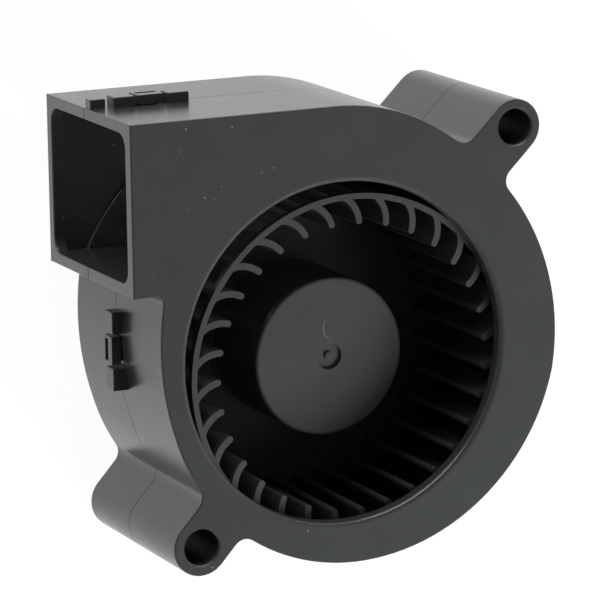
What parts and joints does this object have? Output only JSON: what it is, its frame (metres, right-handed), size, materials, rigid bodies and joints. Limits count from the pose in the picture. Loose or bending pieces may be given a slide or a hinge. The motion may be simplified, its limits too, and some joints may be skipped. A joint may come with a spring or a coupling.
{
  "type": "dc blower fan",
  "caption": "Small centrifugal blower with a round air inlet in its flat face, a scroll casing, a side outlet and two diagonal mounting ears.",
  "frame": {"origin": "rotor axis on the flat back face of the casing", "axes": "+Z along the rotor axis out of the air inlet, -X out of the air outlet, +Y towards the outlet's side of the casing"},
  "size_m": [0.06, 0.0616, 0.028],
  "materials": {
    "casing_plastic": "fine moulded matte",
    "impeller_plastic": "fine moulded matte",
    "yoke_steel": "zinc plated",
    "magnet_rubber": "bonded ferrite",
    "brass": "turned",
    "polished_steel": "ground",
    "clip_plastic": "moulded nylon",
    "spring_steel": "drawn wire",
    "bearing_steel": "ground",
    "cage_steel": "pressed",
    "core_steel": "stacked laminations",
    "insulator_plastic": "moulded nylon",
    "copper_wire": "enamelled wire",
    "board": "solder mask",
    "component_black": "moulded",
    "capacitor_ceramic": "ceramic"
  },
  "bodies": {
    "casing": {"rear_housing": "casing_plastic", "front_cover": "casing_plastic", "bearing_tube": "brass", "rear_bearing_outer_ring": "bearing_steel", "front_bearing_outer_ring": "bearing_steel", "stator_core": "core_steel", "upper_insulator": "insulator_plastic", "lower_insulator": "insulator_plastic", "coil_1": "copper_wire", "coil_2": "copper_wire", "coil_3": "copper_wire", "coil_4": "copper_wire", "terminal_pins": "brass", "circuit_board": "board", "driver_ic": "component_black", "hall_sensor": "component_black", "capacitor": "capacitor_ceramic", "diode": "component_black", "first_resistor": "component_black", "second_resistor": "component_black"},
    "rotor": {"impeller": "impeller_plastic", "rotor_yoke": "yoke_steel", "magnet_ring": "magnet_rubber", "shaft_bush": "brass", "shaft": "polished_steel", "retaining_clip": "clip_plastic", "preload_spring": "spring_steel", "rear_bearing_inner_ring": "bearing_steel", "front_bearing_inner_ring": "bearing_steel"},
    "rear_ball_train": {"rear_bearing_balls": "polished_steel", "rear_bearing_cage": "cage_steel"},
    "front_ball_train": {"front_bearing_balls": "polished_steel", "front_bearing_cage": "cage_steel"}
  },
  "joints": [
    {"name": "rotor_spin", "type": "hinge", "parent": "casing", "child": "rotor", "pos_m": [0, 0, 0.011], "axis": [0, 0, 1], "continuous": true},
    {"name": "rear_ball_train_roll", "type": "hinge", "parent": "casing", "child": "rear_ball_train", "pos_m": [0, 0, 0.00455], "axis": [0, 0, 1], "continuous": true},
    {"name": "front_ball_train_roll", "type": "hinge", "parent": "casing", "child": "front_ball_train", "pos_m": [0, 0, 0.01285], "axis": [0, 0, 1], "continuous": true}
  ],
  "couplings": [
    {"joint": "rear_ball_train_roll", "follows": "rotor_spin", "ratio": 0.3857},
    {"joint": "front_ball_train_roll", "follows": "rotor_spin", "ratio": 0.3857}
  ]
}
